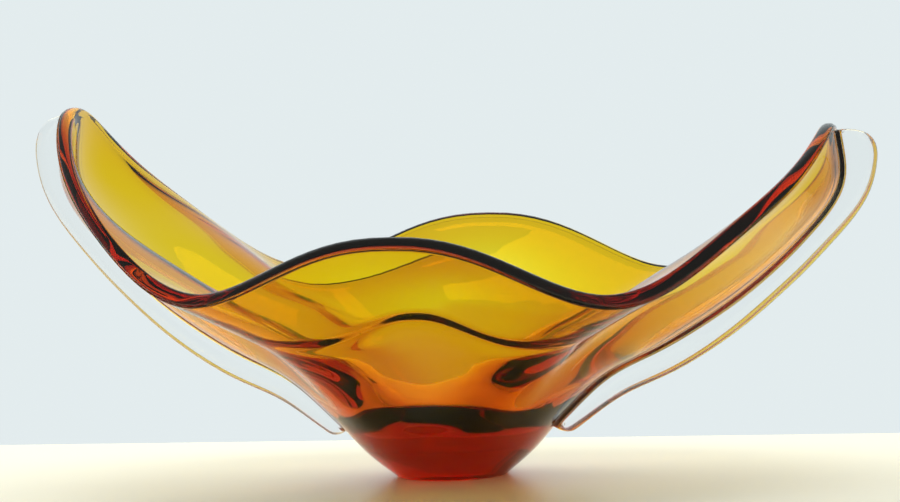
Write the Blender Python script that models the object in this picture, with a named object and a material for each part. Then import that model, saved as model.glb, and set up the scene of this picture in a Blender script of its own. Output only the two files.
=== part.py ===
"""Hot-worked art glass bowl: amber bowl, clear crystal casing and two clear keel fins.

Blender 4.5, metres, +Z up.  The origin is the centre of the ground foot, on the plane the bowl
rests on.  +X runs along the two raised wings and +Y points to the back of the bowl.

The rim is a little fuller than an ellipse in plan and its height rises and falls: two high
wing tips on the X axis, two low petals on the Y axis and four hollows between them.  Every wall
surface is a loft of rings from the round foot up to that rim, so the amber, the casing and the
fins all take their shape from the same two functions, rim_height() and wall_point().
"""
import math

import bmesh
import bpy
from mathutils import Vector

# Rim, seen from above: a closed curve a little fuller than an ellipse.
RIM_HALF_LENGTH = 0.2050     # centre to the wing tips, along X
RIM_HALF_WIDTH = 0.1200      # centre to the petals, along Y
LENGTH_FULLNESS = 0.845      # 1 is an ellipse, less is fuller towards the tips
WIDTH_FULLNESS = 0.912       # the same towards the petals

# Rim height at five places of each quarter turn, from a wing tip to a petal.
WING_TIP_HEIGHT = 0.1862
WING_SIDE_HEIGHT = 0.1584
HOLLOW_RISE_HEIGHT = 0.1191
HOLLOW_HEIGHT = 0.0975
PETAL_HEIGHT = 0.1249
TIP_LEAN = 0.0120            # left tip stands this much above and the right one below
PETAL_LEAN = 0.0027          # back petal above, front petal below
HOLLOW_LEAN = 0.0018         # left hollows above, right hollows below

# Foot and the round bulb above it.
FOOT_RADIUS = 0.0286         # ground flat that the bowl rests on
BULB_RADIUS = 0.0440         # half way up the bulb
BULB_HEIGHT = 0.0128
SHOULDER_RADIUS = 0.0580     # where the bulb opens out into the walls
SHOULDER_HEIGHT = 0.0285

# Walls.
RIM_WALL = 0.0080            # casing and amber together, at the lip
CASING_WALL = 0.0030         # clear casing, the same all over
LIP_ROUND = 0.0026           # how far the fire-polished lip stands above the wall's end
FLOOR_HEIGHT = 0.0310        # lowest point of the cavity above the table
WELL_RADIUS = 0.0290         # round well in the floor of the cavity
WELL_HEIGHT = 0.0330
BASIN_RADIUS = 0.0490        # where the well opens out into the inner walls
BASIN_HEIGHT = 0.0420

# Fins, the clear blades applied along the keel of each wing.
FIN_WIDTH = 0.0130           # across the blade, along Y
FIN_EDGE_ROUND = 0.0060      # height of the full round along the blade's free edge
FIN_EDGE_SHARE = 0.8         # most of a shallow blade's depth that the round may take
FIN_LOW_DEPTH = 0.0138       # blade standing off the casing, above its root
FIN_MID_DEPTH = 0.0148       # half way up the wing
FIN_WAIST_DEPTH = 0.0130     # a little slimmer above that
FIN_HIGH_DEPTH = 0.0141      # below the fingertip end
LEFT_FIN_TIP_DEPTH = 0.0195  # the same at the fingertip ends
RIGHT_FIN_TIP_DEPTH = 0.0220
FIN_ROOT_DEPTH = 0.0070      # blunt tooled root
FIN_ROOT_START = 0.25        # where the root begins, from 0 at the foot to 1 at the rim
FIN_END_DROP = 0.0020        # fingertip end below the wing tip
FIN_END_NARROWING = 0.46     # how much the fingertip end narrows
FIN_BODY_SHARE = 0.92        # length of the blade before its fingertip end begins
FIN_EMBED = 0.0040           # blade inside the casing's hull before it is cut to its seat

# Fit: glass that is fused on the real bowl keeps this gap between the solids.
FUSED_GAP = 0.0003

# Wall profiles above the shoulder: share of the way out to the rim, share of the way up.
WING_PROFILE = ((0.0, 0.0), (0.18, 0.15), (0.41, 0.257), (0.66, 0.412),
                (0.875, 0.602), (1.01, 0.79), (1.0, 1.0))
HOLLOW_PROFILE = ((0.0, 0.0), (0.13, 0.19), (0.26, 0.37), (0.43, 0.545),
                  (0.62, 0.70), (0.81, 0.85), (1.0, 1.0))
PETAL_PROFILE = ((0.0, 0.0), (0.065, 0.196), (0.137, 0.397), (0.242, 0.587),
                 (0.468, 0.735), (0.726, 0.868), (1.0, 1.0))
OUTER_PROFILES = (WING_PROFILE, HOLLOW_PROFILE, PETAL_PROFILE)

# The same for the cavity, above its basin.
CAVITY_WING_PROFILE = ((0.0, 0.0), (0.18, 0.10), (0.41, 0.225), (0.66, 0.39),
                       (0.875, 0.59), (1.01, 0.79), (1.0, 1.0))
CAVITY_HOLLOW_PROFILE = ((0.0, 0.0), (0.12, 0.23), (0.26, 0.38), (0.44, 0.53),
                         (0.63, 0.69), (0.82, 0.845), (1.0, 1.0))
CAVITY_PETAL_PROFILE = ((0.0, 0.0), (0.05, 0.15), (0.115, 0.32), (0.19, 0.445),
                        (0.44, 0.635), (0.72, 0.82), (1.0, 1.0))
CAVITY_PROFILES = (CAVITY_WING_PROFILE, CAVITY_HOLLOW_PROFILE, CAVITY_PETAL_PROFILE)
ROUND_SHARE = 0.28           # part of each profile that is round in plan

SEGMENTS = 64                # facets round the bowl
WALL_LEVELS = 15             # rings from the foot to the rim
CAVITY_LEVELS = 14           # rings from the floor to the rim
FIN_STATIONS = 20            # sections along a blade
FIN_END_STEPS = 5            # sections round its fingertip end
FIN_EDGE_STEPS = 6           # facets round its free edge
TANGENT_STEP = 0.002         # step along the surface that its directions are taken over
SMOOTH_ANGLE = math.radians(40)


def clear_scene():
    for old in list(bpy.data.objects):
        bpy.data.objects.remove(old, do_unlink=True)


def glass(name, colour, roughness, transmission):
    material = bpy.data.materials.new(name)
    material.use_nodes = True
    shader = material.node_tree.nodes["Principled BSDF"]
    shader.inputs["Base Color"].default_value = colour
    shader.inputs["Roughness"].default_value = roughness
    shader.inputs["Metallic"].default_value = 0.0
    shader.inputs["Transmission Weight"].default_value = transmission
    material.diffuse_color = colour
    return material


def smooth_path(points, share):
    """Point on a Catmull-Rom curve through points, share running from 0 to 1."""
    spans = len(points) - 1
    place = min(max(share, 0.0), 1.0) * spans
    span = min(int(place), spans - 1)
    u = place - span
    start, end = Vector(points[span]), Vector(points[span + 1])
    before = Vector(points[span - 1]) if span > 0 else 2 * start - end
    after = Vector(points[span + 2]) if span + 2 <= spans else 2 * end - start
    return 0.5 * (2 * start + (end - before) * u
                  + (2 * before - 5 * start + 4 * end - after) * u * u
                  + (3 * start - before - 3 * end + after) * u ** 3)


def rim_height(turn):
    """Height of the rim at an angle round the bowl, 0 at +X: cosines through its five heights."""
    heights = (WING_TIP_HEIGHT, WING_SIDE_HEIGHT, HOLLOW_RISE_HEIGHT, HOLLOW_HEIGHT, PETAL_HEIGHT)
    last = len(heights) - 1
    height = 0.0
    for order in range(last + 1):
        strength = 0.0
        for place, value in enumerate(heights):
            end = 0.5 if place in (0, last) else 1.0
            strength += end * value * math.cos(math.pi * order * place / last) * 2 / last
        end = 0.5 if order in (0, last) else 1.0
        height += end * strength * math.cos(2 * order * turn)
    return height


def rim_lean(turn):
    """How far the rim stands above or below that even height, since it is shaped by hand."""
    return (PETAL_LEAN * math.sin(turn) ** 3 - TIP_LEAN * math.cos(turn) ** 5
            + HOLLOW_LEAN * (math.cos(3 * turn) - math.cos(turn)))


def rim_point(turn):
    """Point of the rim's outer edge."""
    length, width = math.cos(turn), math.sin(turn)
    return Vector((RIM_HALF_LENGTH * math.copysign(abs(length) ** LENGTH_FULLNESS, length),
                   RIM_HALF_WIDTH * math.copysign(abs(width) ** WIDTH_FULLNESS, width),
                   rim_height(turn) + rim_lean(turn)))


def wall_profile(turn, share, profiles):
    """Share of the way out and up for a wall at this angle: wings, hollows or petals."""
    facing = math.cos(2 * turn)
    wing = max(0.0, facing) ** 2
    petal = max(0.0, -facing) ** 2
    wing_path, hollow_path, petal_path = (smooth_path(path, share) for path in profiles)
    return wing * wing_path + petal * petal_path + (1 - wing - petal) * hollow_path


def loft_point(turn, share, lower, rim, profiles):
    """Point of a wall surface: its lower part is round, above that it opens out to the rim."""
    if share < ROUND_SHARE:
        radius, height = smooth_path(lower, share / ROUND_SHARE)
        return Vector((radius * math.cos(turn), radius * math.sin(turn), height))
    out, up = wall_profile(turn, (share - ROUND_SHARE) / (1 - ROUND_SHARE), profiles)
    edge_radius, edge_height = lower[-1]
    edge = Vector((edge_radius * math.cos(turn), edge_radius * math.sin(turn), edge_height))
    lean = rim_lean(turn)
    return Vector((edge.x + out * (rim.x - edge.x), edge.y + out * (rim.y - edge.y),
                   edge.z + up * (rim.z - lean - edge.z) + up * up * lean))


def outer_point(turn, share):
    """Point of the bowl's outer surface, share running from the foot to the rim."""
    lower = ((FOOT_RADIUS, 0.0), (BULB_RADIUS, BULB_HEIGHT), (SHOULDER_RADIUS, SHOULDER_HEIGHT))
    return loft_point(turn, share, lower, rim_point(turn), OUTER_PROFILES)


def cavity_point(turn, share):
    """Point of the inner surface, share running from the middle of the floor to the rim."""
    lower = ((0.0, FLOOR_HEIGHT), (WELL_RADIUS, WELL_HEIGHT), (BASIN_RADIUS, BASIN_HEIGHT))
    rim = wall_point(turn, 1.0, RIM_WALL)
    return loft_point(turn, share, lower, rim, CAVITY_PROFILES)


def tangents(turn, share):
    """Unit directions of the outer surface: up the wall, and round the bowl."""
    along = (outer_point(turn, min(share + TANGENT_STEP, 1.0))
             - outer_point(turn, max(share - TANGENT_STEP, 0.0)))
    around = outer_point(turn + TANGENT_STEP, share) - outer_point(turn - TANGENT_STEP, share)
    return along.normalized(), around.normalized()


def wall_point(turn, share, inset):
    """Point under the outer surface by inset; a negative inset lies outside it."""
    if share == 0.0:
        radius = FOOT_RADIUS - inset
        return Vector((radius * math.cos(turn), radius * math.sin(turn), inset))
    along, around = tangents(turn, share)
    inward = along.cross(around).normalized()
    return outer_point(turn, share) + inward * inset


def lip_point(turn, inset):
    """Point on the rounded lip, inset measured across the wall from the outside."""
    along = tangents(turn, 1.0)[0]
    rise = LIP_ROUND * math.sqrt(max(0.0, 1 - (2 * inset / RIM_WALL - 1) ** 2))
    return wall_point(turn, 1.0, inset) + along * rise


def ring(point_at):
    return [point_at(2 * math.pi * step / SEGMENTS) for step in range(SEGMENTS)]


def wall_ring(share, inset):
    return ring(lambda turn: wall_point(turn, share, inset))


def lip_ring(inset):
    return ring(lambda turn: lip_point(turn, inset))


def lofted_solid(name, rings, material):
    """Closed solid through rings, its first and last ring closed by a fan to their centres."""
    mesh = bpy.data.meshes.new(name)
    shape = bmesh.new()
    loops = [[shape.verts.new(point) for point in points] for points in rings]
    count = len(loops[0])
    for first, second in zip(loops, loops[1:]):
        # The same diagonal on both sides of a joint, so that its gap stays even.
        rising = sum(vert.co.z for vert in second) > sum(vert.co.z for vert in first)
        low, high = (first, second) if rising else (second, first)
        for index in range(count):
            after = (index + 1) % count
            shape.faces.new((low[index], low[after], high[after]))
            shape.faces.new((low[index], high[after], high[index]))
    for loop in (loops[0], loops[-1]):
        centre = shape.verts.new(sum((vert.co for vert in loop), Vector()) / count)
        for index in range(count):
            shape.faces.new((centre, loop[(index + 1) % count], loop[index]))
    bmesh.ops.recalc_face_normals(shape, faces=shape.faces)
    shape.to_mesh(mesh)
    shape.free()
    return finished(name, mesh, material)


def finished(name, mesh, material):
    part = bpy.data.objects.new(name, mesh)
    bpy.context.collection.objects.link(part)
    mesh.materials.append(material)
    mesh.shade_smooth()
    mesh.set_sharp_from_angle(angle=SMOOTH_ANGLE)
    return part


def wall_shares():
    return [level / WALL_LEVELS for level in range(WALL_LEVELS + 1)]


def crystal_casing():
    """Clear shell over the whole outside, closed under the foot."""
    outside = [wall_ring(share, 0.0) for share in wall_shares()]
    inside = [wall_ring(share, CASING_WALL) for share in reversed(wall_shares())]
    lip = [lip_ring(CASING_WALL * 0.3), lip_ring(CASING_WALL * 0.7)]
    clear = glass("clear_crystal", (0.93, 0.96, 0.95, 1.0), 0.03, 1.0)
    return lofted_solid("crystal_casing", outside + lip + inside, clear)


def amber_bowl():
    """Thick-based bowl inside the casing, from its outside up over the lip into the cavity."""
    seat = CASING_WALL + FUSED_GAP
    outside = [wall_ring(share, seat) for share in wall_shares()]
    amber_wall = RIM_WALL - seat
    lip = [lip_ring(seat + amber_wall * across) for across in (0.2, 0.5, 0.8)]
    cavity = []
    for level in range(CAVITY_LEVELS, 0, -1):
        share = level / CAVITY_LEVELS
        cavity.append(ring(lambda turn: cavity_point(turn, share)))
    amber = glass("amber_glass", (0.80, 0.36, 0.02, 1.0), 0.03, 0.9)
    return lofted_solid("amber_bowl", outside + lip + cavity, amber)


def casing_cutter():
    """The casing's outer hull, grown by the fused gap, for seating the fins."""
    rings = [wall_ring(share, -FUSED_GAP) for share in wall_shares()]
    cutter = lofted_solid("casing_cutter", rings, glass("cutter", (1, 1, 1, 1), 0.5, 0.0))
    cutter.hide_render = True
    cutter.display_type = 'WIRE'
    return cutter


def fin_depth(share, tip_depth):
    """How far the blade stands off the casing, share running from its root to its tip."""
    depths = ((0.0, FIN_ROOT_DEPTH), (0.2, FIN_LOW_DEPTH), (0.4, FIN_MID_DEPTH),
              (0.6, FIN_WAIST_DEPTH), (0.8, FIN_HIGH_DEPTH), (1.0, tip_depth))
    return smooth_path(depths, share)[1]


def fin_section(turn, share, depth, half_width):
    """Section across a blade: straight sides from inside the casing to a full round edge."""
    along, around = tangents(turn, share)
    outward = around.cross(along).normalized()
    keel = outer_point(turn, share)
    side = Vector((0, 1, 0))
    edge = min(FIN_EDGE_ROUND, depth * FIN_EDGE_SHARE)
    section = [keel - outward * FIN_EMBED - side * half_width]
    for step in range(FIN_EDGE_STEPS + 1):
        angle = math.pi * step / FIN_EDGE_STEPS
        section.append(keel + outward * (depth - edge + edge * math.sin(angle))
                       - side * half_width * math.cos(angle))
    section.append(keel - outward * FIN_EMBED + side * half_width)
    return section


def fin(name, turn, tip_depth, cutter):
    """Clear blade along one keel, seated on the casing by cutting the casing's hull from it."""
    end_share = 1.0 - FIN_END_DROP / rim_height(turn)
    length = end_share - FIN_ROOT_START
    sections = []
    for station in range(FIN_STATIONS + 1):
        share = station / FIN_STATIONS
        sections.append(fin_section(turn, FIN_ROOT_START + share * length * FIN_BODY_SHARE,
                                    fin_depth(share, tip_depth), FIN_WIDTH / 2))
    for step in range(1, FIN_END_STEPS + 1):
        angle = math.radians(90) * step / FIN_END_STEPS
        share = FIN_BODY_SHARE + (1 - FIN_BODY_SHARE) * math.sin(angle)
        narrowing = 1 - FIN_END_NARROWING * (1 - math.cos(angle))
        sections.append(fin_section(turn, FIN_ROOT_START + share * length,
                                    tip_depth * narrowing, FIN_WIDTH / 2 * narrowing))
    clear = glass(name + "_crystal", (0.95, 0.97, 0.96, 1.0), 0.02, 1.0)
    blade = lofted_solid(name, sections, clear)
    seat = blade.modifiers.new("seat_on_casing", 'BOOLEAN')
    seat.operation = 'DIFFERENCE'
    seat.solver = 'EXACT'
    seat.object = cutter
    return blade


clear_scene()
crystal_casing()
amber_bowl()
hull = casing_cutter()
fin("right_fin", 0.0, RIGHT_FIN_TIP_DEPTH, hull)
fin("left_fin", math.pi, LEFT_FIN_TIP_DEPTH, hull)
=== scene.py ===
"""Hot-worked art glass bowl: amber glass cased in clear crystal, with a clear fin on each wing."""
import math

import bmesh
import bpy
import numpy as np
from mathutils import Matrix, Vector


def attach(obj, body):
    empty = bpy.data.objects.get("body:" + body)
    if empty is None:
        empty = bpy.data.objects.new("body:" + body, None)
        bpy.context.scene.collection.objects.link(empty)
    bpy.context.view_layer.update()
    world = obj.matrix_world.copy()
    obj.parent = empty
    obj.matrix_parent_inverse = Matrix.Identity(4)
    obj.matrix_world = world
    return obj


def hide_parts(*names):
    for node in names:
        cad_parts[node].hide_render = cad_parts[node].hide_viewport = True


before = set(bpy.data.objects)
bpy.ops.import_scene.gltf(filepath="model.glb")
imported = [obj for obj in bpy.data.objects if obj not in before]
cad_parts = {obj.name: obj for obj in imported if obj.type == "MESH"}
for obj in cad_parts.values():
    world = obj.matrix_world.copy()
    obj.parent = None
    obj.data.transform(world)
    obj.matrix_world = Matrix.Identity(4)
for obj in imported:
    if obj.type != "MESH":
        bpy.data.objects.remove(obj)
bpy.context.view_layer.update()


# ---- Amber bowl ----
# The body of the piece, one gather of amber glass blown thin-walled over a thick base, then swung
# and pulled while hot: its ends rise into two wings, its sides into two low petals, and the rim
# dips to four hollows between them. The lip is fire polished. It is cased in clear crystal.
RIM_HALF_LENGTH = 0.2050        # metres, as every size here
RIM_HALF_WIDTH = 0.1200
LENGTH_FULLNESS = 0.845         # 1 gives an ellipse, less a fuller oval
WIDTH_FULLNESS = 0.912
RIM_HEIGHTS = (0.1862, 0.1584, 0.1191, 0.0975, 0.1249)    # wing tip round to petal
TIP_LEAN = 0.0120
PETAL_LEAN = 0.0027
HOLLOW_LEAN = 0.0018
FOOT_RADIUS = 0.0286
BULB = (0.0440, 0.0128)         # radius and height
SHOULDER = (0.0580, 0.0285)
RIM_WALL = 0.0080
CASING_WALL = 0.0030
LIP_ROUND = 0.0026
FLOOR_HEIGHT = 0.0310           # lowest point of the cavity
WELL = (0.0290, 0.0330)
BASIN = (0.0490, 0.0420)
# Each profile is the share of the way out, and up, from the round bulb to the rim.
WING_PROFILE = ((0.0, 0.0), (0.18, 0.15), (0.41, 0.257), (0.66, 0.412),
                (0.875, 0.602), (1.01, 0.79), (1.0, 1.0))
HOLLOW_PROFILE = ((0.0, 0.0), (0.13, 0.19), (0.26, 0.37), (0.43, 0.545),
                  (0.62, 0.70), (0.81, 0.85), (1.0, 1.0))
PETAL_PROFILE = ((0.0, 0.0), (0.065, 0.196), (0.137, 0.397), (0.242, 0.587),
                 (0.468, 0.735), (0.726, 0.868), (1.0, 1.0))
CAVITY_WING_PROFILE = ((0.0, 0.0), (0.18, 0.10), (0.41, 0.225), (0.66, 0.39),
                       (0.875, 0.59), (1.01, 0.79), (1.0, 1.0))
CAVITY_HOLLOW_PROFILE = ((0.0, 0.0), (0.12, 0.23), (0.26, 0.38), (0.44, 0.53),
                         (0.63, 0.69), (0.82, 0.845), (1.0, 1.0))
CAVITY_PETAL_PROFILE = ((0.0, 0.0), (0.05, 0.15), (0.115, 0.32), (0.19, 0.445),
                        (0.44, 0.635), (0.72, 0.82), (1.0, 1.0))
ROUND_SHARE = 0.28              # share of a meridian that is round in plan
SOFTENING = 0.018
CAVITY_SOFTENING = 0.006
SOFTENING_STEPS = 6
SOFTENING_WIDTH = 2.4
DIRECTION_STEP = 0.003


def smooth_path(points, share):
    """Points on a Catmull-Rom curve, share running from 0 to 1 along it."""
    knots = np.array(points, float)
    spans = len(knots) - 1
    knots = np.vstack([2 * knots[0] - knots[1], knots, 2 * knots[-1] - knots[-2]])
    place = np.clip(share, 0, 1) * spans
    span = np.minimum(place.astype(int), spans - 1)
    u = (place - span)[..., None]
    before, start, end, after = (knots[span + step] for step in range(4))
    return 0.5 * (2 * start + (end - before) * u
                  + (2 * before - 5 * start + 4 * end - after) * u ** 2
                  + (3 * start - before - 3 * end + after) * u ** 3)


def rim_height(turn):
    """Height of the rim round the bowl: the sum of cosines through the five rim heights."""
    last = len(RIM_HEIGHTS) - 1
    height = 0.0
    for order in range(last + 1):
        strength = 0.0
        for place, value in enumerate(RIM_HEIGHTS):
            end = 0.5 if place in (0, last) else 1.0
            strength += end * value * math.cos(math.pi * order * place / last) * 2 / last
        end = 0.5 if order in (0, last) else 1.0
        height = height + end * strength * np.cos(2 * order * turn)
    return height


def rim_lean(turn):
    """How far the rim stands above or below that height, since it was shaped by hand."""
    return (PETAL_LEAN * np.sin(turn) ** 3 - TIP_LEAN * np.cos(turn) ** 5
            + HOLLOW_LEAN * (np.cos(3 * turn) - np.cos(turn)))


def rim_point(turn):
    """Points of the rim's outer edge."""
    length, width = np.cos(turn), np.sin(turn)
    return np.stack([
        RIM_HALF_LENGTH * np.sign(length) * np.abs(length) ** LENGTH_FULLNESS,
        RIM_HALF_WIDTH * np.sign(width) * np.abs(width) ** WIDTH_FULLNESS,
        rim_height(turn) + rim_lean(turn)], axis=-1)


def wall_profile(turn, share, profiles):
    """Share of the way out and up, blended from wing to hollow to petal round the bowl."""
    facing = np.cos(2 * turn)
    wing = (np.maximum(0, facing) ** 2)[..., None]
    petal = (np.maximum(0, -facing) ** 2)[..., None]
    return (wing * smooth_path(profiles[0], share) + petal * smooth_path(profiles[2], share)
            + (1 - wing - petal) * smooth_path(profiles[1], share))


def loft(turn, lower, edge, rim, share, profiles):
    """Points of a wall surface: round in plan at first, then opening out to the rim."""
    radius, height = np.moveaxis(smooth_path(lower + (edge,), share / ROUND_SHARE), -1, 0)
    round_part = np.stack([radius * np.cos(turn), radius * np.sin(turn), height], axis=-1)
    out, up = np.moveaxis(
        wall_profile(turn, (share - ROUND_SHARE) / (1 - ROUND_SHARE), profiles), -1, 0)
    edge_x, edge_y = edge[0] * np.cos(turn), edge[0] * np.sin(turn)
    lean = rim_lean(turn)
    open_part = np.stack([
        edge_x + out * (rim[..., 0] - edge_x),
        edge_y + out * (rim[..., 1] - edge_y),
        edge[1] + up * (rim[..., 2] - lean - edge[1]) + up * up * lean], axis=-1)
    return np.where((share < ROUND_SHARE)[..., None], round_part, open_part)


def softened(surface, turn, share, spread=SOFTENING):
    """The same surface with its changes of curvature softened along each meridian."""
    total, weights = 0.0, 0.0
    for step in range(-SOFTENING_STEPS, SOFTENING_STEPS + 1):
        weight = math.exp(-0.5 * (step / SOFTENING_WIDTH) ** 2)
        there = share + step * spread / SOFTENING_WIDTH
        inside = np.clip(there, 0, 1)
        end_point = surface(turn, inside)
        past = np.abs(there - inside) > 0
        mirrored = 2 * end_point - surface(turn, np.clip(2 * inside - there, 0, 1))
        total = total + weight * np.where(past[..., None], mirrored, end_point)
        weights += weight
    return total / weights


def outer_surface(turn, share):
    """The whole outside, from the foot to the rim."""
    return loft(turn, ((FOOT_RADIUS, 0.0), BULB), SHOULDER, rim_point(turn), share,
                (WING_PROFILE, HOLLOW_PROFILE, PETAL_PROFILE))


def cavity_surface(turn, share):
    """The inside, from the middle of the floor to the rim. It needs rim_inside, set below."""
    return loft(turn, ((0.0, FLOOR_HEIGHT), WELL), BASIN, rim_inside, share,
                (CAVITY_WING_PROFILE, CAVITY_HOLLOW_PROFILE, CAVITY_PETAL_PROFILE))


def directions(turn, share):
    """Unit directions up the wall, round the bowl and into the wall."""
    step = DIRECTION_STEP
    along = (softened(outer_surface, turn, np.minimum(share + step, 1))
             - softened(outer_surface, turn, np.maximum(share - step, 0)))
    around = (softened(outer_surface, turn + step, share)
              - softened(outer_surface, turn - step, share))
    along /= np.linalg.norm(along, axis=-1, keepdims=True)
    around /= np.linalg.norm(around, axis=-1, keepdims=True)
    inward = np.cross(along, around)
    inward /= np.linalg.norm(inward, axis=-1, keepdims=True)
    return along, around, inward


def inner_rim(turn):
    """Points of the rim's inner edge, one wall in from the outer edge."""
    top = np.ones_like(turn)
    return softened(outer_surface, turn, top) + directions(turn, top)[2] * RIM_WALL


# The wall is laid out in columns round the bowl, close together along the two keels that carry
# the fins, and in rows from the foot to the lip, close together where a fin begins and ends.
FIN_COLUMNS = 6
QUARTER_COLUMNS = 60
FIN_SEAT = 0.0088
FIN_ROOT = 0.250
FIN_ROOT_END = 0.285
FIN_TIP_START = 0.925
FIN_TIP = 0.994


def seat_turn(share):
    """Angle round the bowl at which the wall lies half a fin's seat away from the keel."""
    low, high = np.zeros_like(share), np.full_like(share, 1.2)
    for _ in range(40):
        middle = (low + high) / 2
        far = outer_surface(middle, share)[..., 1] > FIN_SEAT
        high = np.where(far, middle, high)
        low = np.where(far, low, middle)
    return (low + high) / 2


def row_shares():
    """Shares up the wall at which its rows lie."""
    root = FIN_ROOT + (FIN_ROOT_END - FIN_ROOT) * (1 - np.cos(np.linspace(0, np.pi / 2, 9)))
    tip = FIN_TIP_START + (FIN_TIP - FIN_TIP_START) * np.sin(np.linspace(0, np.pi / 2, 13))
    return np.concatenate([np.linspace(0, FIN_ROOT, 27)[:-1], root,
                           np.linspace(FIN_ROOT_END, FIN_TIP_START, 60)[1:-1], tip,
                           np.array([0.997, 1.0])])


shares = row_shares()
fin_rows = [int(np.argmin(np.abs(shares - mark))) for mark in (FIN_ROOT, FIN_TIP)]
seat_edge = seat_turn(shares)
quarter = []
for column in range(QUARTER_COLUMNS + 1):
    if column <= FIN_COLUMNS:
        quarter.append(seat_edge * column / FIN_COLUMNS)
    else:
        across = (column - FIN_COLUMNS) / (QUARTER_COLUMNS - FIN_COLUMNS)
        quarter.append(seat_edge + (np.pi / 2 - seat_edge) * across)
half = quarter + [np.pi - turn for turn in reversed(quarter[:-1])]
turns = np.array(half[:-1] + [turn + np.pi for turn in half[:-1]])
share_grid = np.broadcast_to(shares, turns.shape).copy()
outer_grid = softened(outer_surface, turns, share_grid)
along_grid, around_grid, inward_grid = directions(turns, share_grid)
outer_grid[:, 0, 2] = 0.0
COLUMNS, ROWS = turns.shape


def inset_ring(row, inset):
    """One ring of the wall, inset under the outer surface; the foot ring stays flat."""
    if row == 0:
        ring = outer_grid[:, 0].copy()
        radius = np.linalg.norm(ring[:, :2], axis=1, keepdims=True)
        ring[:, :2] *= (radius - inset) / radius
        ring[:, 2] = inset
        return ring
    return outer_grid[:, row] + inward_grid[:, row] * inset


def lip_ring(inset):
    """A ring of the fire-polished lip, inset measured across the wall from the outside."""
    rise = LIP_ROUND * math.sqrt(max(0.0, 1 - (2 * inset / RIM_WALL - 1) ** 2))
    return outer_grid[:, -1] + inward_grid[:, -1] * inset + along_grid[:, -1] * rise


def glass_body(name, rings, kinds, materials, seats=None):
    """Closed body through rings, with the kind of face between each pair of rings.

    seats(row, column) may give a face a kind of its own. With one material the kind is kept
    in the face attribute "polished"; with two it chooses the material slot.
    """
    count = len(rings[0])
    points = np.concatenate(rings + [rings[0].mean(0)[None], rings[-1].mean(0)[None]])
    faces, slots = [], []
    for row in range(len(rings) - 1):
        for column in range(count):
            after = (column + 1) % count
            faces.append((row * count + column, row * count + after,
                          (row + 1) * count + after, (row + 1) * count + column))
            own_kind = seats(row, column) if seats else None
            slots.append(kinds[row] if own_kind is None else own_kind)
    first, last = len(rings) * count, len(rings) * count + 1
    top = (len(rings) - 1) * count
    for column in range(count):
        after = (column + 1) % count
        faces.append((first, after, column))
        slots.append(kinds[0])
        faces.append((last, top + column, top + after))
        slots.append(kinds[-1])
    mesh = bpy.data.meshes.new(name)
    mesh.from_pydata([tuple(point) for point in points], [], faces)
    for material in materials:
        mesh.materials.append(material)
    if len(materials) > 1:
        mesh.polygons.foreach_set("material_index", slots)
    else:
        polished = mesh.attributes.new("polished", 'FLOAT', 'FACE')
        polished.data.foreach_set("value", [1.0 - slot for slot in slots])
    shape = bmesh.new()
    shape.from_mesh(mesh)
    bmesh.ops.recalc_face_normals(shape, faces=shape.faces)
    shape.to_mesh(mesh)
    shape.free()
    mesh.shade_smooth()
    mesh.update()
    body = bpy.data.objects.new(name, mesh)
    bpy.context.collection.objects.link(body)
    return body


def hot_worked_surface():
    """Shader group: the slow waves that swinging leaves in glass, and faint wiping smears."""
    group = bpy.data.node_groups.new("hot worked surface", 'ShaderNodeTree')
    for socket, kind, direction in (
            ("Wave Spacing", 'NodeSocketFloat', 'INPUT'),
            ("Wave Height", 'NodeSocketFloat', 'INPUT'),
            ("Polish", 'NodeSocketFloat', 'INPUT'),
            ("Smears", 'NodeSocketFloat', 'INPUT'),
            ("Roughness", 'NodeSocketFloat', 'OUTPUT'),
            ("Height", 'NodeSocketFloat', 'OUTPUT')):
        group.interface.new_socket(socket, in_out=direction, socket_type=kind)
    nodes, links = group.nodes, group.links
    given = nodes.new("NodeGroupInput")
    result = nodes.new("NodeGroupOutput")
    place = nodes.new("ShaderNodeTexCoord")
    scale = nodes.new("ShaderNodeMath")
    scale.operation = 'DIVIDE'
    scale.inputs[0].default_value = 1.0
    waves = nodes.new("ShaderNodeTexNoise")
    waves.inputs["Detail"].default_value = 1.0
    waves.inputs["Distortion"].default_value = 0.6
    pull = nodes.new("ShaderNodeMapping")
    pull.inputs["Scale"].default_value = (0.45, 1.0, 1.3)
    height = nodes.new("ShaderNodeMath")
    height.operation = 'MULTIPLY'
    wiped = nodes.new("ShaderNodeTexNoise")
    wiped.inputs["Scale"].default_value = 38.0
    wiped.inputs["Detail"].default_value = 6.0
    wiped.inputs["Roughness"].default_value = 0.62
    only_smears = nodes.new("ShaderNodeMapRange")
    only_smears.inputs["From Min"].default_value = 0.52
    only_smears.inputs["From Max"].default_value = 0.80
    duller = nodes.new("ShaderNodeMath")
    duller.operation = 'MULTIPLY_ADD'
    links.new(given.outputs["Wave Spacing"], scale.inputs[1])
    links.new(place.outputs["Object"], pull.inputs["Vector"])
    links.new(pull.outputs["Vector"], waves.inputs["Vector"])
    links.new(scale.outputs["Value"], waves.inputs["Scale"])
    links.new(waves.outputs["Fac"], height.inputs[0])
    links.new(given.outputs["Wave Height"], height.inputs[1])
    links.new(place.outputs["Object"], wiped.inputs["Vector"])
    links.new(wiped.outputs["Fac"], only_smears.inputs["Value"])
    links.new(only_smears.outputs["Result"], duller.inputs[0])
    links.new(given.outputs["Smears"], duller.inputs[1])
    links.new(given.outputs["Polish"], duller.inputs[2])
    links.new(duller.outputs["Value"], result.inputs["Roughness"])
    links.new(height.outputs["Value"], result.inputs["Height"])
    return group


surface_group = hot_worked_surface()


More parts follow.
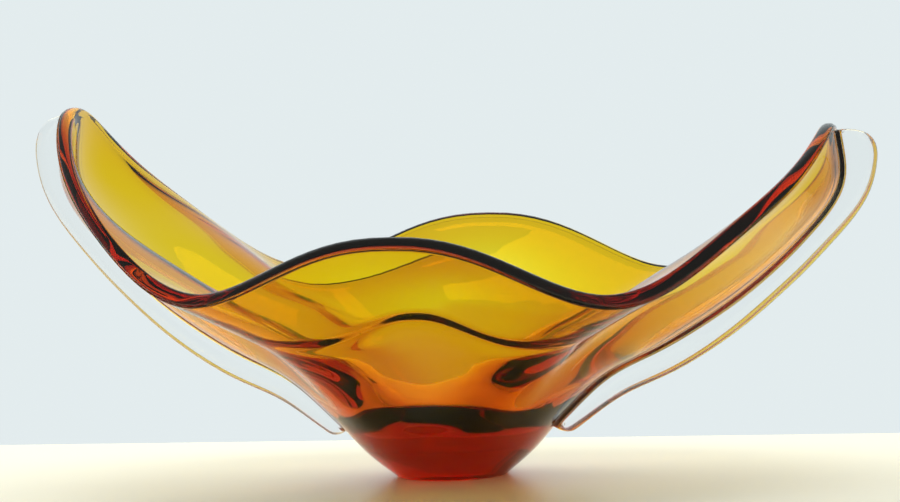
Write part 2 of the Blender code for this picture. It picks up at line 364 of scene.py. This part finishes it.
def glass_material(name, colour, wave_spacing, wave_height, polish, smears):
    """Polished glass with the hot worked surface on its own numbers."""
    material = bpy.data.materials.new(name)
    material.use_nodes = True
    tree = material.node_tree
    shader = tree.nodes["Principled BSDF"]
    shader.inputs["Base Color"].default_value = colour
    shader.inputs["IOR"].default_value = 1.5
    shader.inputs["Transmission Weight"].default_value = 1.0
    surface = tree.nodes.new("ShaderNodeGroup")
    surface.name = "surface"
    surface.node_tree = surface_group
    surface.inputs["Wave Spacing"].default_value = wave_spacing
    surface.inputs["Wave Height"].default_value = wave_height
    surface.inputs["Polish"].default_value = polish
    surface.inputs["Smears"].default_value = smears
    bump = tree.nodes.new("ShaderNodeBump")
    bump.inputs["Distance"].default_value = 1.0
    tree.links.new(surface.outputs["Roughness"], shader.inputs["Roughness"])
    tree.links.new(surface.outputs["Height"], bump.inputs["Height"])
    tree.links.new(bump.outputs["Normal"], shader.inputs["Normal"])
    return material


# Where the amber is fused to the casing there is no surface to see, so those faces are open.
amber = glass_material("amber glass", (1.0, 1.0, 1.0, 1.0), 0.055, 0.00016, 0.006, 0.035)
absorption = amber.node_tree.nodes.new("ShaderNodeVolumeAbsorption")
absorption.inputs["Color"].default_value = (0.985, 0.928, 0.0, 1.0)
absorption.inputs["Density"].default_value = 1000.0
amber.node_tree.links.new(absorption.outputs["Volume"],
                          amber.node_tree.nodes["Material Output"].inputs["Volume"])
open_face = amber.node_tree.nodes.new("ShaderNodeAttribute")
open_face.attribute_name = "polished"
amber.node_tree.links.new(open_face.outputs["Fac"],
                          amber.node_tree.nodes["Principled BSDF"].inputs["Alpha"])
POLISHED, FUSED = 0, 1
JOINT = 0.00003                 # between the two layers, so that their faces never meet
CASING_LIP = 0.0006
THINNING_START = 0.72
thinning = np.clip((shares - THINNING_START) / (1 - THINNING_START), 0, 1)
casing_wall = CASING_WALL - (CASING_WALL - CASING_LIP) * thinning ** 2 * (3 - 2 * thinning)
seat = CASING_LIP + JOINT
amber_rings = [inset_ring(row, casing_wall[row] + JOINT) for row in range(ROWS)]
AMBER_LIP = (0.08, 0.2, 0.35, 0.5, 0.65, 0.8, 0.92)
amber_rings += [lip_ring(seat + (RIM_WALL - seat) * across) for across in AMBER_LIP]

# A soft crease runs across each petal inside, where it was folded out from the bulb.
CAVITY_ROWS = 190
CREASE_SHARE = 0.69
CREASE_HEIGHT = 0.0028
CREASE_RISE = 0.050
CREASE_FALL = 0.022
CREASE_REACH = 0.9
cavity_turns = turns[:, -1]
rim_inside = inner_rim(cavity_turns)
on_petal = np.clip(0.5 - np.cos(2 * cavity_turns) / CREASE_REACH, 0, 1)
cavity_rings = []
for step in range(CAVITY_ROWS, 0, -1):
    share = np.full(COLUMNS, step / CAVITY_ROWS)
    ring = softened(cavity_surface, cavity_turns, share, CAVITY_SOFTENING)
    above = step / CAVITY_ROWS - CREASE_SHARE
    width = CREASE_FALL if above > 0 else CREASE_RISE
    fold = CREASE_HEIGHT * math.exp(-(above / width) ** 2) * on_petal
    out = np.hypot(ring[:, 0], ring[:, 1])
    ring[:, :2] *= ((out - fold) / out)[:, None]
    cavity_rings.append(ring)
amber_kinds = [FUSED] * (ROWS - 1) + [POLISHED] * (len(AMBER_LIP) + 1 + CAVITY_ROWS)
bowl = glass_body("amber_bowl_glass", amber_rings + cavity_rings, amber_kinds, (amber,))
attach(bowl, "root")
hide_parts("amber_bowl")

# ---- Seeds ----
# Seeds are the few pinhead bubbles of air that stay in hand-gathered glass, here scattered
# through the middle of the amber wall by a fixed seed. They can't be taken out or moved.
seed_tree = bpy.data.node_groups.new("scatter seeds", 'GeometryNodeTree')
for socket, kind, direction in (
        ("Wall", 'NodeSocketGeometry', 'INPUT'),
        ("Per Square Metre", 'NodeSocketFloat', 'INPUT'),
        ("Smallest Radius", 'NodeSocketFloat', 'INPUT'),
        ("Largest Radius", 'NodeSocketFloat', 'INPUT'),
        ("Scatter", 'NodeSocketInt', 'INPUT'),
        ("Material", 'NodeSocketMaterial', 'INPUT'),
        ("Bubbles", 'NodeSocketGeometry', 'OUTPUT')):
    seed_tree.interface.new_socket(socket, in_out=direction, socket_type=kind)
seed_in = seed_tree.nodes.new("NodeGroupInput")
seed_out = seed_tree.nodes.new("NodeGroupOutput")
scatter = seed_tree.nodes.new("GeometryNodeDistributePointsOnFaces")
bubble = seed_tree.nodes.new("GeometryNodeMeshUVSphere")
bubble.inputs["Segments"].default_value = 12
bubble.inputs["Rings"].default_value = 8
bubble.inputs["Radius"].default_value = 1.0
radius = seed_tree.nodes.new("FunctionNodeRandomValue")
place_bubbles = seed_tree.nodes.new("GeometryNodeInstanceOnPoints")
real_bubbles = seed_tree.nodes.new("GeometryNodeRealizeInstances")
smooth_bubbles = seed_tree.nodes.new("GeometryNodeSetShadeSmooth")
bubble_material = seed_tree.nodes.new("GeometryNodeSetMaterial")
for start, finish in (
        (seed_in.outputs["Wall"], scatter.inputs["Mesh"]),
        (seed_in.outputs["Per Square Metre"], scatter.inputs["Density"]),
        (seed_in.outputs["Scatter"], scatter.inputs["Seed"]),
        (seed_in.outputs["Smallest Radius"], radius.inputs["Min"]),
        (seed_in.outputs["Largest Radius"], radius.inputs["Max"]),
        (seed_in.outputs["Scatter"], radius.inputs["Seed"]),
        (scatter.outputs["Points"], place_bubbles.inputs["Points"]),
        (bubble.outputs["Mesh"], place_bubbles.inputs["Instance"]),
        (radius.outputs["Value"], place_bubbles.inputs["Scale"]),
        (place_bubbles.outputs["Instances"], real_bubbles.inputs["Geometry"]),
        (real_bubbles.outputs["Geometry"], smooth_bubbles.inputs["Geometry"]),
        (smooth_bubbles.outputs["Geometry"], bubble_material.inputs["Geometry"]),
        (seed_in.outputs["Material"], bubble_material.inputs["Material"]),
        (bubble_material.outputs["Geometry"], seed_out.inputs["Bubbles"])):
    seed_tree.links.new(start, finish)
seed_air = bpy.data.materials.new("seed air")
seed_air.use_nodes = True
seed_shader = seed_air.node_tree.nodes["Principled BSDF"]
seed_shader.inputs["Roughness"].default_value = 0.0
seed_shader.inputs["IOR"].default_value = 1.5
seed_shader.inputs["Transmission Weight"].default_value = 1.0
SEED_DEPTH = 0.0052
SEED_ROWS = range(8, ROWS - 14, 6)
seed_rings = [inset_ring(row, SEED_DEPTH) for row in SEED_ROWS]
seed_faces = []
for row in range(len(seed_rings) - 1):
    for column in range(COLUMNS):
        after = (column + 1) % COLUMNS
        seed_faces.append((row * COLUMNS + column, row * COLUMNS + after,
                           (row + 1) * COLUMNS + after, (row + 1) * COLUMNS + column))
seed_wall = bpy.data.meshes.new("seed_wall")
seed_wall.from_pydata([tuple(point) for ring in seed_rings for point in ring], [], seed_faces)
seed_source = bpy.data.objects.new("seed_source", seed_wall)
bpy.context.collection.objects.link(seed_source)
scattering = seed_source.modifiers.new("scatter", 'NODES')
scattering.node_group = seed_tree
seed_sizes = {"Per Square Metre": 260.0, "Smallest Radius": 0.00014, "Largest Radius": 0.00042,
              "Scatter": 7, "Material": seed_air}
for item in seed_tree.interface.items_tree:
    if item.in_out == 'INPUT' and item.name in seed_sizes:
        scattering[item.identifier] = seed_sizes[item.name]
evaluated = seed_source.evaluated_get(bpy.context.evaluated_depsgraph_get())
seeds = bpy.data.objects.new("seed_bubbles", bpy.data.meshes.new_from_object(evaluated))
bpy.context.collection.objects.link(seeds)
bpy.data.objects.remove(seed_source)
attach(seeds, "root")

# ---- Crystal casing ----
# A second gather of clear crystal over the whole outside, fused to the amber as it was blown. It
# thins out almost to nothing at the lip, and its foot is ground flat and smoothed on the wheel.
crystal = glass_material("clear crystal", (0.985, 0.995, 0.99, 1.0), 0.07, 0.00022, 0.006, 0.03)
crystal_joint = bpy.data.materials.new("crystal fused joint")
crystal_joint.use_nodes = True
crystal_joint.node_tree.nodes["Principled BSDF"].inputs["Alpha"].default_value = 0.0
foot_tree = crystal.node_tree
foot_place = foot_tree.nodes.new("ShaderNodeTexCoord")
foot_height = foot_tree.nodes.new("ShaderNodeSeparateXYZ")
ground = foot_tree.nodes.new("ShaderNodeMapRange")
ground.inputs["From Min"].default_value = 0.0003
ground.inputs["From Max"].default_value = 0.0009
ground.inputs["To Min"].default_value = 1.0
ground.inputs["To Max"].default_value = 0.0
grit = foot_tree.nodes.new("ShaderNodeTexNoise")
grit.inputs["Scale"].default_value = 900.0
grit.inputs["Detail"].default_value = 3.0
grit_range = foot_tree.nodes.new("ShaderNodeMapRange")
grit_range.inputs["To Min"].default_value = 0.18
grit_range.inputs["To Max"].default_value = 0.42
foot_mix = foot_tree.nodes.new("ShaderNodeMix")
for start, finish in (
        (foot_place.outputs["Object"], foot_height.inputs["Vector"]),
        (foot_height.outputs["Z"], ground.inputs["Value"]),
        (foot_place.outputs["Object"], grit.inputs["Vector"]),
        (grit.outputs["Fac"], grit_range.inputs["Value"]),
        (ground.outputs["Result"], foot_mix.inputs["Factor"]),
        (foot_tree.nodes["surface"].outputs["Roughness"], foot_mix.inputs["A"]),
        (grit_range.outputs["Result"], foot_mix.inputs["B"]),
        (foot_mix.outputs["Result"], foot_tree.nodes["Principled BSDF"].inputs["Roughness"])):
    foot_tree.links.new(start, finish)
casing_rings = [inset_ring(row, 0.0) for row in range(ROWS)]
CASING_LIP_ROUND = (0.1, 0.25, 0.5, 0.75)
casing_rings += [lip_ring(CASING_LIP * across) for across in CASING_LIP_ROUND]
casing_rings += [inset_ring(row, casing_wall[row]) for row in reversed(range(ROWS))]
casing_kinds = [POLISHED] * (ROWS + len(CASING_LIP_ROUND)) + [FUSED] * (ROWS - 1)


def under_fin(row, column):
    """A casing face that a fin is fused to."""
    if not fin_rows[0] <= row < fin_rows[1]:
        return None
    half_ring = COLUMNS // 2
    near = min(column % half_ring, half_ring - 1 - column % half_ring)
    return FUSED if near < FIN_COLUMNS else None


casing = glass_body("crystal_casing_glass", casing_rings, casing_kinds, (crystal, crystal_joint),
                    under_fin)
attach(casing, "root")
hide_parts("crystal_casing")

# ---- Fins ----
# Two clear blades trailed onto the keels of the wings while the casing was soft. Each has a blunt
# tooled root, a full round edge and a rounded fingertip end that stands past the wing tip.
fin_crystal = glass_material("fin crystal", (0.985, 0.995, 0.99, 1.0), 0.04, 0.00014, 0.005, 0.025)
FIN_HALF_WIDTH = 0.0065
FIN_EDGE_ROUND = 0.0060
FIN_MID_DEPTH = 0.0148
FIN_ROOT_DEPTH = 0.0085
FIN_LONGEST_FILLET = 0.0028
FIN_NARROWEST = 0.55            # share of its width that a fin keeps at its ends
FIN_FULL_DEPTH = 0.010          # depth from which a fin has its whole width
FIN_JOINT = 0.00004
RIGHT_TIP_DEPTH = 0.0220
LEFT_TIP_DEPTH = 0.0195


def fin_depth(share, tip_depth):
    """How far a fin stands out from the wall, with its rounded root and fingertip end."""
    along = np.clip((share - FIN_ROOT) / (FIN_TIP - FIN_ROOT), 0, 1)
    depths = ((0.0, FIN_ROOT_DEPTH), (0.2, FIN_MID_DEPTH * 0.93), (0.4, FIN_MID_DEPTH),
              (0.6, FIN_MID_DEPTH * 0.88), (0.8, FIN_MID_DEPTH * 0.95), (1.0, tip_depth))
    depth = smooth_path(depths, along)[..., 1]
    root = np.clip((share - FIN_ROOT) / (FIN_ROOT_END - FIN_ROOT), 0, 1)
    tip = np.clip((FIN_TIP - share) / (FIN_TIP - FIN_TIP_START), 0, 1)
    return (depth * np.sqrt(1 - (1 - root) ** 2) ** 0.8
            * np.sqrt(1 - (1 - tip) ** 2) ** 0.9)


def fin_body(name, keel, tip_depth):
    """A fin on the keel's column, from sections that follow the wall."""
    rows = range(fin_rows[0], fin_rows[1] + 1)
    sections = []
    for row in rows:
        columns = [(keel + step) % COLUMNS for step in range(-FIN_COLUMNS, FIN_COLUMNS + 1)]
        floor = outer_grid[columns, row] - inward_grid[columns, row] * FIN_JOINT
        base = outer_grid[keel, row]
        out = -inward_grid[keel, row]
        side = around_grid[keel, row]
        depth = float(fin_depth(np.array(shares[row]), tip_depth))
        edge = min(FIN_EDGE_ROUND, depth * 0.8)
        half_width = FIN_HALF_WIDTH * min(
            1.0, FIN_NARROWEST + depth / FIN_FULL_DEPTH * (1 - FIN_NARROWEST))
        start, finish = floor[0], floor[-1]
        outside = []
        fillet = min(FIN_LONGEST_FILLET, depth * 0.5)
        for angle in np.linspace(0, np.pi, 15):
            outside.append(base + out * (depth - edge + edge * math.sin(angle))
                           - side * half_width * math.cos(angle))
        left, right = [], []
        for side_sign, edge_point, store in ((-1, start, left), (1, finish, right)):
            wall = base + out * fillet + side * side_sign * half_width
            corner = base + side * side_sign * half_width * 1.05 + out * fillet * 0.12
            for u in np.linspace(0, 1, 7)[:-1]:
                store.append((1 - u) ** 2 * edge_point + 2 * u * (1 - u) * corner
                             + u * u * wall)
            store.append(wall)
            top = base + out * (depth - edge) + side * side_sign * half_width
            for u in (0.33, 0.67):
                store.append(wall + (top - wall) * u)
        section = left + outside + right[::-1]
        seat_points = list(floor[1:-1][::-1])
        sections.append(np.array(section + seat_points))
    count = len(sections[0])
    outside_count = count - (2 * FIN_COLUMNS - 1)
    kinds = [POLISHED] * (len(sections) - 1)

    def seat_face(row, column):
        return FUSED if column >= outside_count - 1 else None

    return glass_body(name, sections, kinds, (fin_crystal, crystal_joint), seat_face)


for name, keel, tip_depth in (("right_fin", 0, RIGHT_TIP_DEPTH),
                              ("left_fin", COLUMNS // 2, LEFT_TIP_DEPTH)):
    blade = fin_body(name + "_glass", keel, tip_depth)
    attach(blade, "root")
    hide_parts(name)

# ---- Shelf ----
# A plain pale painted shelf, cream, with a soft sheen. Its back edge ends just behind the bowl.
SHELF_REACH = 0.9
SHELF_BACK = 0.167
shelf_mesh = bpy.data.meshes.new("shelf")
corners = ((-SHELF_REACH, -SHELF_REACH, 0.0), (SHELF_REACH, -SHELF_REACH, 0.0),
           (SHELF_REACH, SHELF_BACK, 0.0), (-SHELF_REACH, SHELF_BACK, 0.0))
shelf_mesh.from_pydata(corners, [], [(0, 1, 2, 3)])
shelf = bpy.data.objects.new("shelf", shelf_mesh)
bpy.context.collection.objects.link(shelf)
paint = bpy.data.materials.new("shelf paint")
paint.use_nodes = True
paint_shader = paint.node_tree.nodes["Principled BSDF"]
paint_shader.inputs["Base Color"].default_value = (0.84, 0.81, 0.62, 1.0)
paint_shader.inputs["Roughness"].default_value = 0.28
shelf_mesh.materials.append(paint)

# ---- Light ----
# A pale lit backdrop behind the bowl that falls off to a dimmer room in front and overhead, a
# wide soft lamp high behind it, and a ceiling lamp whose light falls through the glass.
YAW = 0.21825                   # the bowl stands turned a little from the line of sight
turned = Matrix.Rotation(YAW, 4, 'Z')
world = bpy.data.worlds.new("studio")
bpy.context.scene.world = world
world.use_nodes = True
tree = world.node_tree
sky = tree.nodes["Background"]
coordinates = tree.nodes.new("ShaderNodeTexCoord")
toward = tree.nodes.new("ShaderNodeVectorMath")
toward.operation = 'DOT_PRODUCT'
toward.inputs[1].default_value = tuple(turned @ Vector((0, 1, 0)))
fade = tree.nodes.new("ShaderNodeMapRange")
fade.interpolation_type = 'SMOOTHSTEP'
fade.inputs["From Min"].default_value = 0.1
fade.inputs["From Max"].default_value = 0.75
shades = tree.nodes.new("ShaderNodeMix")
shades.data_type = 'RGBA'
shades.inputs["A"].default_value = (0.36, 0.34, 0.31, 1.0)
shades.inputs["B"].default_value = (0.77, 0.84, 0.855, 1.0)
tree.links.new(coordinates.outputs["Generated"], toward.inputs[0])
tree.links.new(toward.outputs["Value"], fade.inputs["Value"])
tree.links.new(fade.outputs["Result"], shades.inputs["Factor"])
tree.links.new(shades.outputs["Result"], sky.inputs["Color"])

lamp = bpy.data.lights.new("top light", 'AREA')
lamp.shape = 'RECTANGLE'
lamp.size = 2.4
lamp.size_y = 1.2
lamp.energy = 36
lamp_object = bpy.data.objects.new("top light", lamp)
lamp_object.matrix_world = (turned @ Matrix.Translation((0.0, 1.3, 1.0))
                            @ Matrix.Rotation(math.radians(-55), 4, 'X'))
lamp_object.visible_glossy = False
lamp_object.visible_transmission = False
bpy.context.collection.objects.link(lamp_object)
ceiling = bpy.data.lights.new("ceiling light", 'AREA')
ceiling.shape = 'RECTANGLE'
ceiling.size = 1.0
ceiling.size_y = 0.6
ceiling.energy = 7
ceiling_object = bpy.data.objects.new("ceiling light", ceiling)
ceiling_object.location = (0.0, 0.1, 1.2)
ceiling_object.visible_glossy = False
bpy.context.collection.objects.link(ceiling_object)

scene = bpy.context.scene
scene.view_settings.view_transform = 'Standard'
scene.cycles.max_bounces = 24
scene.cycles.transmission_bounces = 24
scene.cycles.transparent_max_bounces = 48

# ---- Camera ----
# A long lens at a little under the height of the wing tips, turned slightly to the right wing,
# tipped down a little and slightly rolled.
DISTANCE = 1.3625
EYE_HEIGHT = 0.16597
ASIDE = 0.00281
TILT = 0.035804
ROLL = -0.037389
camera = bpy.data.cameras.new("camera")
camera.sensor_width = 36.0
camera.lens = 104.23
eye = turned @ Vector((ASIDE, -DISTANCE, EYE_HEIGHT))
ahead = turned.to_3x3() @ Vector((0, math.cos(TILT), -math.sin(TILT)))
level = turned.to_3x3() @ Vector((1, 0, 0))
up = level.cross(ahead)
rolled = level * math.cos(ROLL) + up * math.sin(ROLL)
rolled_up = up * math.cos(ROLL) - level * math.sin(ROLL)
aim = Matrix((rolled, rolled_up, -ahead)).transposed().to_4x4()
aim.translation = eye
camera_object = bpy.data.objects.new("camera", camera)
camera_object.matrix_world = aim
bpy.context.collection.objects.link(camera_object)
scene.camera = camera_object
